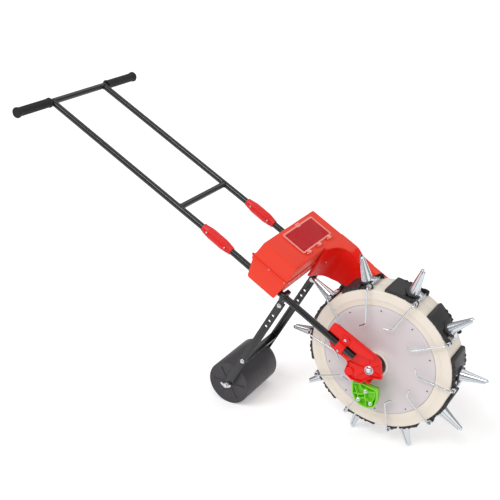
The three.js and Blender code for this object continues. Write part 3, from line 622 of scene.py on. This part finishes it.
# ---- Throat and chute --------------------------------------------------------------------------------
def build_chute():
    wall = spline([(FRONT_U, 26), (251, 33), (257, 52), (266, 74), (281, 90), (311, 100),
                   (345, 105.5), (372, 110)], 6)
    side = rounded([(FRONT_U, 2, 0), (262, -6, 20), (300, -3, 30), (345, 6, 20), (364, 20, 14),
                    (372, 50, 10), (372, 99, 3), (330, 101, 10), (306, 111.7, 8),
                    (FRONT_U, 111.7, 0)], 5)
    throat = crossed(plate_z([*wall, (372, 144.5), (FRONT_U, 144.5)], -40, 130),
                     plate_y(side, 0, 160))
    throat = carve(throat, box(230, 263, 96.5, 160, -60, 14), box(262, 400, 107, 160, -60, 14))
    throat = soften(throat, 1.8, 3, 40)
    corners = [(282, 100), (432, 100, 40), (520, 78, 40), (575, 52, 16), (588, 34, 14),
               (584, 15, 10), (534, 15, 14), (500, 42, 30), (300, 42)]
    arm = soften(plate_y(rounded(corners, 10, 7), 114, 145), 4.5, 4, 40)
    ridge_side = rounded(inset(corners, 6.5), 6, 6)
    ridge = soften(plate_y(ridge_side, 144, 146.4), 0.9, 2, 40)
    near_ridge = soften(plate_y(ridge_side, 112.4, 115), 0.9, 2, 40)
    spout = moved(tube(9, 12, 104.8, 116), shift(SPOUT_U, 0, SPOUT_N))
    # The throat and its flange wear the copy of the hopper red with painted shade.
    piece("throat_shell", throat, RAIL, THROAT_RED_PAINTED_SHADE, "frame", ["feed_chute"], smooth=40)
    piece("chute_arm", joined(arm, ridge, near_ridge, spout), RAIL, HOPPER_RED, "frame", smooth=50)
    flange = soften(box(FRONT_U, FRONT_U + 1.8, 29, 96, 0, 109), 0.6)
    piece("throat_flange", flange, RAIL, THROAT_RED_PAINTED_SHADE, "frame")
    rivet = moved(screw_y(0, 0, 0, -1, 2.4, 1.6), turn(-28, "Z"))
    rivets = [moved(rivet, shift(u, y, n)) for u, y, n in ((262, 63, 55), (259, 57, 6))]
    piece("throat_rivets", joined(*rivets), RAIL, ZINC_STEEL, "frame")


# ---- Frame tubes, axle brackets, clamps and cam ------------------------------------------------------
BRACKET_SIDE = [(407, -6, 3), (407, 38, 5), (420, 42, 10), (552, 46, 6), (569, 43, 5), (603, -2, 4),
                (577, -24, 8), (565, -57, 4), (538, -72, 12), (509, -69, 13), (502, -36, 8),
                (488, -26, 7), (436, -26, 9)]
BRACKET_RIBS = ((-158, 16, 62), (-106, 16, 56), (64, 16, 44), (14, 16, 33), (122, 16, 50))
CAM_FACE = -103.4
CAM_BOLTS = ((-10, -76), (-31, -109), (6, -111))


def bracket_ribs():
    """Low ribs that spread from the axle boss, and the round lobe behind it."""
    made = []
    for degrees, near, far in BRACKET_RIBS:
        rib = soften(box(near, far, -111.6, -108, -1.7, 1.7), 0.8)
        made.append(moved(rib, shift(AXLE_U, 0, AXLE_N) @ turn(-degrees, "Y")))
    lobe = lathe([(0, -108), (13, -108), (13, -111.4), (11.8, -112.8), (9, -113.2), (0, -113.2)],
                 40, loop=False)
    made.append(moved(lobe, shift(519, 0, -55)))
    return made


def axle_bracket(right):
    outline = rounded(BRACKET_SIDE, 5, 6)
    plate = soften(plate_y(outline, -108.8, -104.8), 0.8)
    rim = soften(
        carve(plate_y(outline, -113.4, -107),
              plate_y(rounded(inset(BRACKET_SIDE, 3.2), 4, 6), -120, -100)),
        0.8)
    boss = moved(lathe([(9, -105), (17.5, -105), (17.5, -109.6), (16.4, -110.6), (9, -110.6)], 48),
                 shift(AXLE_U, 0, AXLE_N))
    # The hood over the tube, and the lip that closes the bracket's pocket under it.
    hood_side = rounded([(407, 14, 3), (407, 36, 8), (420, 42.6, 12), (556, 46.6, 8), (548, 30, 10),
                         (500, 13, 12)], 6, 6)
    hood = soften(plate_y(hood_side, -120, -108), 3.4, 4, 40)
    shelf_side = rounded([(434, -14), (492, -14, 6), (504, 2, 6), (508, -8, 6), (500, -26, 8),
                          (434, -26, 6)], 3)
    shelf = soften(plate_y(shelf_side, -119, -108), 1.6, 3, 40)
    parts = [plate, rim, boss, hood, shelf, *bracket_ribs()]
    if right:
        tongue = soften(box(AXLE_U + 1, AXLE_U + 23, -83.6, -80.4, -98, -40), 1.2, 3)
        arm = soften(box(AXLE_U - 3, AXLE_U + 23, -108, -80.4, -49.5, -43), 1.5, 3)
        parts += [tongue, arm]
    return joined(*parts)


def tube_clamp():
    """A strap across the outside of the tube, its screws in a pocket above and below."""
    band_end = rounded([(-131, -10.5, 6), (-131, 11.5, 6), (-122, 14, 3), (-109.2, 14),
                        (-109.2, -13), (-122, -13, 3)], 0)
    band = soften(plate_x(band_end, 448.5, 473.5), 1.6, 3)
    hole = along_x(rod(TUBE_R + 0.3, 400, 520))
    band = carve(band, moved(hole, shift(0, -TUBE_Y)))
    foot = rounded(rectangle(447, 475, 13, 38), 6)
    upper = soften(
        carve(plate_y(foot, -124.5, -109.2), plate_y(inset(foot, 2.6), -130, -121)), 0.8)
    low = rounded(rectangle(447, 475, -12, -25), 5)
    lower = soften(plate_y(low, -121.5, -109.2), 1.2, 3)
    return joined(band, upper, lower)


def opening_cam():
    corners = [(-52, -59, 4), (-20, -53, 8), (0, -58, 8), (24, -62, 5), (25, -95, 14), (19, -118, 12),
               (0, -127, 12), (-20, -126, 12), (-39, -117, 10), (-50, -92, 12)]
    outline = rounded(corners, 8, 6)
    hollow = rounded(inset(corners, 3), 8, 6)
    web = plate_y(outline, -91, -86)
    wall = soften(carve(plate_y(outline, -104.4, -86), plate_y(hollow, -110, -80)), 0.8)
    parts = [web, wall]
    half_rib = 1.1
    ribs = [
        [(-44, -66), (-38, -84), (-33, -100), (-31, -109)],
        [(-30, -57), (-24, -70), (-10, -76), (6, -74), (20, -70)],
        [(-10, -76), (-12, -92), (-8, -108), (-6, -122)],
        [(16, -66), (18, -84), (12, -100), (6, -111)],
        [(-31, -109), (-18, -100), (-4, -104), (6, -111)],
        [(-46, -92), (-30, -92), (-16, -86), (-10, -76)],
    ]
    for rib in ribs:
        line = spline([(x, 0, z) for x, z in rib], 6)
        made = []
        for k, (x, _, z) in enumerate(line):
            ax, _, az = line[max(k - 1, 0)]
            bx, _, bz = line[min(k + 1, len(line) - 1)]
            length = math.hypot(bx - ax, bz - az)
            px, pz = -(bz - az) / length * half_rib, (bx - ax) / length * half_rib
            made.append([(x + px, -102.4, z + pz), (x - px, -102.4, z - pz), (x - px, -90, z - pz),
                         (x + px, -90, z + pz)])
        parts.append(soften(loft(made), 0.5))
    boss = lathe([(3, CAM_FACE), (6.2, CAM_FACE), (7, -102.6), (7.2, -90), (3, -90)], 32)
    parts += [moved(boss, shift(x, 0, z)) for x, z in CAM_BOLTS]
    return joined(*parts)


def build_frame():
    bracket = {"right": axle_bracket(True), "left": moved(axle_bracket(False), MIRROR_Y)}
    clamp = {"right": tube_clamp(), "left": moved(tube_clamp(), MIRROR_Y)}
    for side, name in ((-1, "right"), (1, "left")):
        pipe = moved(along_x(tube(TUBE_BORE, TUBE_R, 1.5, RAIL_END)), shift(0, side * TUBE_Y))
        plug = moved(along_x(rod(TUBE_BORE + 0.1, RAIL_END - 9, RAIL_END + 0.6, 40)),
                     shift(0, side * TUBE_Y))
        piece(f"{name}_frame_pipe", pipe, RAIL, BLACK_PAINT, "frame", [f"{name}_frame_tube"])
        piece(f"{name}_frame_plug", plug, RAIL, BLACK_PLASTIC, "frame")
        piece(f"{name}_bracket_moulding", bracket[name], RAIL, BRACKET_RED, "frame",
              [f"{name}_axle_bracket"])
        piece(f"{name}_clamp_strap", clamp[name], RAIL, BRACKET_RED, "frame", [f"{name}_tube_clamp"])
        screws = joined(screw_y(461, 25.5, side * 121, side, 5, 3.4),
                        screw_y(461, -18.5, side * 121.4, side, 3.6, 2.6))
        piece(f"{name}_clamp_screws", screws, RAIL, ZINC_STEEL, "frame")
    piece("cam_moulding", opening_cam(), AXLE, CAM_GREEN, "frame", ["opening_cam"])
    bolts = [hex_y(x, z, CAM_FACE, -1, 7, 2.6, 5.8) for x, z in CAM_BOLTS]
    piece("cam_bolts", joined(*bolts), AXLE, ZINC_STEEL, "frame")
    face = 110.6
    washer = lathe([(8, 0), (13, 0), (13, 1.6), (12.4, 2.2), (8, 2.2)], 48)
    collar = lathe([(8.4, 0), (10.6, 0), (10.6, 3.6), (9.6, 5), (8.4, 5)], 48)
    right_end = joined(
        on_face(washer, 0, -face, 0, -1),
        on_face(collar, 0, -face - 2, 0, -1),
        on_face(hexagon(13, 0, 6), 0, -face - 1, 0, -1),
    )
    left_end = joined(
        moved(washer, shift(0, face)),
        moved(hexagon(17.4, 0, 5.6), shift(0, face + 2.2)),
        rod(5.4, face, face + 8.2, 32),
    )
    piece("axle_bolt", joined(rod(8, -face - 1, face + 4), right_end, left_end), AXLE, ZINC_STEEL,
          "frame", ["drum_axle"])


# ---- Press roller ------------------------------------------------------------------------------------
def roller_arm():
    half = 12
    top = -38
    foot = [(ARM_U + half * math.cos(math.radians(a)), ROLLER_N + half * math.sin(math.radians(a)))
            for a in range(180, 361, 12)]
    bar = plate_y([(ARM_U + half, top), (ARM_U - half, top), *foot], -97, -93)
    cutters = [moved(rod(4.2, -100, -90, 24, 0.1), shift(ARM_U, 0, n)) for n in (-98, -121, -144)]
    return soften(carve(bar, *cutters), 0.5, 2)


def build_roller():
    arm = roller_arm()
    u0, u1 = ARM_U - 7, ARM_U + 7
    collar = carve(
        soften(plate_x(rounded(rectangle(-131.5, -105, -13, 13), 7), u0, u1), 0.9),
        moved(along_x(rod(TUBE_R + 0.2, 200, 300)), shift(0, -TUBE_Y)),
    )
    lug = soften(plate_y(rounded(rectangle(u0, u1, -66, 13), 4), -101.3, -97.4), 0.7)
    webs = [box(u0 + 1, u1 - 1, -112, -98, n0, n1) for n0, n1 in ((-13, -9.6), (9.6, 13))]
    bracket = joined(collar, lug, *webs)
    bolts = joined(
        hex_y(ARM_U, -50, -101.3, -1, 9, 3.6, 7),
        hex_y(ARM_U, CROSS_BAR_N, -97, -1, 9, 3.6, 7),
        hex_y(ARM_U, -50, -93, 1, 9, 3.6, 7),
        moved(along_z(hexagon(9, 13, 16.5)), shift(ARM_U, -TUBE_Y) @ turn(180, "X")),
    )
    for side, name in ((-1, "right"), (1, "left")):
        flip = Matrix.Identity(4) if side < 0 else MIRROR_Y
        piece(f"{name}_arm_strip", moved(arm, flip), RAIL, BLACK_PAINT, "frame",
              [f"{name}_roller_arm"])
        piece(f"{name}_arm_collar", moved(bracket, flip), RAIL, BLACK_PAINT, "frame",
              [f"{name}_arm_bracket"])
        piece(f"{name}_arm_bolts", moved(bolts, flip), RAIL, ZINC_STEEL, "frame")
    section = rounded([(-11, 1.5), (11, 1.5), (11, -10), (8.2, -10), (8.2, -1.5), (-11, -1.5)], 0.9, 3)
    bar = soften(plate_y(section, -92.6, 92.6), 0.4)
    ends = [soften(plate_y(rounded(rectangle(-11, 11, -9, 9), 3), y0, y1), 0.5)
            for y0, y1 in ((-92.6, -89.6), (89.6, 92.6))]
    piece("cross_bar_angle", joined(bar, *ends), RAIL @ shift(ARM_U, 0, CROSS_BAR_N), BLACK_PAINT,
          "frame", ["arm_cross_bar"])

    shell = lathe(
        [(66, -88), (68.4, -88), (69.5, -87.3), (70, -86), (70, -30.6), (69.5, -30), (70, -29.4),
         (70, 29.4), (69.5, 30), (70, 30.6), (70, 86), (69.5, 87.3), (68.4, 88), (60, 88), (58, 86),
         (20, 85.2), (17, 87.4), (6.6, 87.4), (6.6, 83), (62, 83), (66, 80)],
        128,
    )
    piece("roller_barrel", shell, ROLLER, ROLLER_CHARCOAL, "roller", ["press_roller"])
    cap = lathe([(6.6, -87.6), (17, -87.6), (19, -85.8), (56, -84.8), (60, -87.2), (65.8, -87.6),
                 (65.8, -83.4), (18, -80), (18, -68), (6.6, -68)], 128)
    spokes = [moved(soften(box(20, 57, -86.9, -84, -1.6, 1.6), 0.6), turn(a, "Y"))
              for a in range(0, 360, 60)]
    piece("roller_cap", joined(cap, *spokes), ROLLER, ROLLER_CHARCOAL, "roller", ["roller_end_cap"])
    face = 97.4
    wing = [(0, -8), (6, -7), (16, -2), (19, 3, 2), (17, 8, 3), (10, 4), (0, 2), (-10, 4), (-17, 8, 3),
            (-19, 3, 2), (-16, -2), (-6, -7)]
    wings = soften(plate_y(rounded(wing, 2), -face - 6.4, -face - 3.2), 0.7)
    nut = on_face(lathe([(6, 0), (9.6, 0), (8.4, 5), (7.6, 6.8), (6, 6.8)], 32), 0, -face, 0, -1)
    far_nut = moved(hexagon(16, 0, 6.8), shift(0, face))
    piece("roller_spindle", joined(rod(6, -face - 11.5, face + 9.5), wings, nut, far_nut), ROLLER,
          ZINC_STEEL, "frame", ["roller_axle"])


# ---- Drum --------------------------------------------------------------------------------------------
def build_drum():
    half = lathe(
        [(RIM_R - 0.2, -0.2), (RIM_R, -0.8), (RIM_R, -43), (209.3, -45.6), (207.5, -47.4), (205, -48.1),
         (186, -48.9), (185.2, -49.5), (184.4, -49), (170, -49.9), (168.2, -50), (167.4, -49.4),
         (167.2, -46.6), (150, -46.6), (150, -43.6), (203, -43.8), (206.6, -41), (206.8, -0.2)],
        240,
    )
    piece("drum_shell_right", half, AXLE, DRUM_CREAM, "drum", ["drum_right_half"])
    piece("drum_shell_left", moved(half, MIRROR_Y), AXLE, DRUM_CREAM, "drum", ["drum_left_half"])
    disc = lathe(
        [(12.4, -73.6), (29.6, -73.6), (31, -72.4), (31.2, -64), (32.6, -60), (35.5, -56),
         (40, -54.2), (60, -53.3), (150, -52.9), (159, -52.5), (164, -51.3), (166.4, -49.8),
         (COVER_R, -47.4), (12.4, -47.4)],
        200,
    )
    between = [turn(-(k + 0.5) * STEP, "Y") for k in range(STATIONS)]
    boss = moved(lathe([(0, -52), (4.6, -52), (4.4, -53), (3.4, -53.3), (0, -53.3)], 24,
                       loop=False), shift(COVER_SCREW_R))
    bosses = [moved(boss, place) for place in between]
    piece("side_cover_right", joined(disc, *bosses), AXLE, COVER_GREY, "drum", ["right_side_cover"])
    far = lathe(
        [(54.6, 47.2), (COVER_R, 47.2), (COVER_R, 50.2), (164.5, 52), (150, 52.8), (80, 53.2),
         (66, 53.2), (62, 55), (56.4, 55), (54.6, 54)],
        200,
    )
    piece("side_cover_left", far, AXLE, COVER_GREY, "drum", ["left_side_cover"])
    screws = [moved(screw_y(COVER_SCREW_R, 0, face, side, 2.1, 1), place)
              for place in between for side, face in ((-1, -53.2), (1, 52.4))]
    piece("cover_screws", joined(*screws), AXLE, BLACK_PLASTIC, "drum")
    bush = lathe([(8.4, -79.6), (30.8, -79.6), (32.2, -78.6), (32.2, -75.2), (31.4, -74), (11.8, -74),
                  (11.8, -46), (8.4, -46)], 96)
    piece("hub_bush_right", bush, AXLE, BLACK_PLASTIC, "drum", ["right_hub_bush"])
    ring = lathe([(32.6, -75), (35.6, -76), (37.6, -74.4), (37.6, -69), (34.4, -58), (30, -58),
                  (30, -72)], 96)
    piece("hub_seal_ring", ring, AXLE, DRUM_CREAM, "drum")
    inlet = lathe([(47, 18.5), (50, 18.5), (50, 96), (49, 103.4), (46, 104.3), (10, 104.3), (10, 101.4),
                   (44, 101.4), (47, 98)], 96)
    hole = moved(rod(10, 90, 120, 40, 0.1),
                 turn(RAIL_SLOPE, "Y") @ shift(SPOUT_U - AXLE_U, 0, SPOUT_N - AXLE_N))
    piece("inlet_drum", carve(inlet, hole), AXLE, BLACK_PLASTIC, "frame", ["seed_inlet_housing"])
    bush = lathe([(50.4, 46), (54, 46), (54, 59), (53, 60), (51.4, 60), (50.4, 59)], 96)
    piece("hub_bush_left", bush, AXLE, BLACK_PLASTIC, "drum", ["left_hub_bush"])


# ---- Beaks -------------------------------------------------------------------------------------------
def jaw(foot, tip, base_wide, base_deep, tip_wide, tip_deep, side, seam):
    """Half a beak: a trough of folded sheet that narrows to a rounded tip."""
    rings = []
    sheet = 1.6
    steps = 22
    arcs = 18
    length = tip - foot
    for k in range(steps + 1):
        t = k / steps
        x = foot + length * t
        nose = math.sqrt(max(1 - max((t - 0.95) / 0.05, 0) ** 2, 0.04))
        belly = t + 0.05 * math.sin(math.pi * t)
        wide = (base_wide + (tip_wide - base_wide) * belly) * nose
        deep = (base_deep + (tip_deep - base_deep) * belly) * nose
        ring = []
        for i in range(arcs + 1):
            a = math.pi * i / arcs
            c, s = math.cos(a), math.sin(a)
            ring.append((x, wide * math.copysign(abs(c) ** 0.85, c), side * (seam + deep * s ** 1.15)))
        thin = min(sheet, wide * 0.4, deep * 0.45)
        for i in range(arcs, -1, -1):
            a = math.pi * i / arcs
            c, s = math.cos(a), math.sin(a)
            ring.append((x, (wide - thin) * math.copysign(abs(c) ** 0.85, c),
                         side * (seam + (deep - thin) * s ** 1.15)))
        rings.append(ring)
    return loft(rings)


def seat():
    """The black saddle under a beak, castled along both edges."""
    outline = rounded([(-40, -43, 3), (-22, -43), (-22, -40.5), (-12, -40.5), (-12, -43), (4, -43),
                       (4, -40.5), (12, -40.5), (12, -43), (40, -43, 5), (40, 43, 5), (12, 43),
                       (12, 40.5), (4, 40.5), (4, 43), (-12, 43), (-12, 40.5), (-22, 40.5), (-22, 43),
                       (-40, 43, 3)], 1)
    plate = soften(plate_x([(y, z) for z, y in outline], 204.5, 211.5), 1.1, 3)
    pad_side = rounded([(-16, 206), (40, 206), (40, 215, 4), (33, 218, 5), (-12, 218, 3),
                        (-16, 214, 2)], 0)
    pad = soften(plate_y([(x, z) for z, x in pad_side], -42, 42), 1.4, 3, 40)
    blocks = []
    for side in (-1, 1):
        for z0, z1, high in ((-38, -27, 216), (-19, -13, 217), (-8, 2, 219.5), (8, 15, 219.5),
                             (20, 38, 216.6)):
            y0, y1 = sorted((side * 37, side * 43.4))
            blocks.append(soften(box(206, high, y0, y1, z0, z1), 0.9))
    collar = moved(
        lathe([(16, 0), (23.5, 0), (23.5, 2.2), (22, 4), (18.6, 4.4), (16, 4.4)], 48),
        shift(217) @ turn(-90, "Z"),
    )
    saddle = moved(joined(plate, pad, *blocks), turn(-SEAT_LAG, "Y"))
    lug_side = rounded([(209, -33), (209, -6), (219, -9, 4), (223.8, -18, 4), (223.8, -32, 5)], 1)
    lugs = [soften(plate_y(lug_side, y0, y1), 0.7) for y0, y1 in ((-40, -35), (35, 40))]
    return joined(saddle, collar, *lugs)


def lever():
    """The wire that the cam works: a coil round the pin, a long leg inwards and a hooked end."""
    coil = []
    coil_r = 5
    steps = 80
    for k in range(steps + 1):
        a = 2 * math.pi * k / 16
        coil.append((HINGE_X + coil_r * math.cos(a), -41.8 - 9 * k / steps,
                     HINGE_Z + coil_r * math.sin(a)))
    leg = spline([(HINGE_X, -46, HINGE_Z), (HINGE_X, -52, HINGE_Z), (HINGE_X - 1.5, -57, HINGE_Z + 0.6),
                  (HINGE_X - 7, -60, HINGE_Z + 2.2), (196, -61.5, -20), (173, -64, -14),
                  (150, -66.8, -8.6), (131, -69.4, -4), (124, -70.2, -1.6), (119.4, -70.2, 4),
                  (116.4, -69.8, 12), (114.6, -69.2, 19.6)], 7)
    return joined(sweep(coil, 1.3, 8), sweep(leg, 2.5, 14))


def build_beaks():
    saddle = seat()
    fixed = jaw(209, TIP_R - 0.2, 19, 18, 6.4, 6.4, 1, seam=0.5)
    pin = shift(HINGE_X, 0, HINGE_Z)
    heel = rounded([(217, -29), (222, -30), (226, -17), (222, -11), (216.5, -18)], 2)
    moving = joined(
        jaw(217.5, 291, 18, 16.5, 6.8, 6.6, -1, seam=0.6),
        moved(rod(5.2, -12.5, 12.5, 28), pin),
        soften(plate_y(heel, -11, 11), 0.6),
        moved(rod(3, -48, 43, 28, 0.8), pin),
        lever(),
    )
    for number, place in zip(numbers, stations):
        piece(f"beak_seat_{number}", saddle, place, BLACK_PLASTIC, "drum")
        piece(f"fixed_jaw_{number}", fixed, place, ZINC_STEEL, "drum", [f"fixed_beak_{number}"],
              smooth=55)
        piece(f"moving_jaw_{number}", moving, place, ZINC_STEEL, f"beak_{number}",
              [f"moving_beak_{number}"], smooth=55)


# ---- Stage, in metres --------------------------------------------------------------------------------
FLOOR_HALF = 30
# Each lamp's name, the direction it comes from, its angle in degrees and its power.
LAMPS = (
    ("key", (-0.7, -1.0, 1.3), 35, 1.1),
    ("fill", (1.3, -0.7, 0.9), 60, 0.7),
    ("back", (0.2, 1.0, 1.5), 60, 0.6),
    ("glint", (0.1, -0.85, 1.05), 14, 0.5),
)


def build_floor():
    ground = plate_z(rectangle(-FLOOR_HALF, FLOOR_HALF, -FLOOR_HALF, FLOOR_HALF), -0.002, 0)
    floor = bpy.data.objects.new("floor", ground)
    white = bpy.data.materials.new("studio_floor")
    white.use_nodes = True
    shader = white.node_tree.nodes["Principled BSDF"]
    shader.inputs["Base Color"].default_value = (0.86, 0.86, 0.86, 1)
    shader.inputs["Roughness"].default_value = 0.9
    shader.inputs["Specular IOR Level"].default_value = 0.1
    shader.inputs["Emission Color"].default_value = (1, 1, 1, 1)
    shader.inputs["Emission Strength"].default_value = 0.28
    ground.materials.append(white)
    bpy.context.scene.collection.objects.link(floor)


def build_lights():
    world = bpy.data.worlds.new("studio")
    bpy.context.scene.world = world
    world.use_nodes = True
    sky = world.node_tree.nodes["Background"]
    sky.inputs["Color"].default_value = (1, 1, 1, 1)
    sky.inputs["Strength"].default_value = 0.42
    for name, spot, spread, power in LAMPS:
        light = bpy.data.lights.new(name, "SUN")
        light.angle = math.radians(spread)
        light.energy = power
        lamp = bpy.data.objects.new(name, light)
        lamp.rotation_euler = (-Vector(spot)).to_track_quat("-Z", "Y").to_euler()
        bpy.context.scene.collection.objects.link(lamp)
    bpy.context.scene.view_settings.view_transform = "Standard"


def build_camera():
    lens = bpy.data.cameras.new("view")
    lens.lens = 63.98
    lens.sensor_width = 36
    camera = bpy.data.objects.new("view", lens)
    camera.location = (1.2158, -2.0422, 1.5705)
    camera.rotation_euler = (math.radians(65.854), 0, math.radians(31.802))
    bpy.context.scene.collection.objects.link(camera)
    bpy.context.scene.camera = camera


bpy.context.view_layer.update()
build_handle()
build_couplings()
build_hopper()
build_lid()
build_chute()
build_frame()
build_roller()
build_drum()
build_beaks()
for node, (material, _) in (("seed_wheel", BLACK_PLASTIC), ("seed_distributor", DRUM_CREAM)):
    shown = frame["nodes"][node].data
    shown.materials.clear()
    shown.materials.append(material)
build_floor()
build_lights()
build_camera()
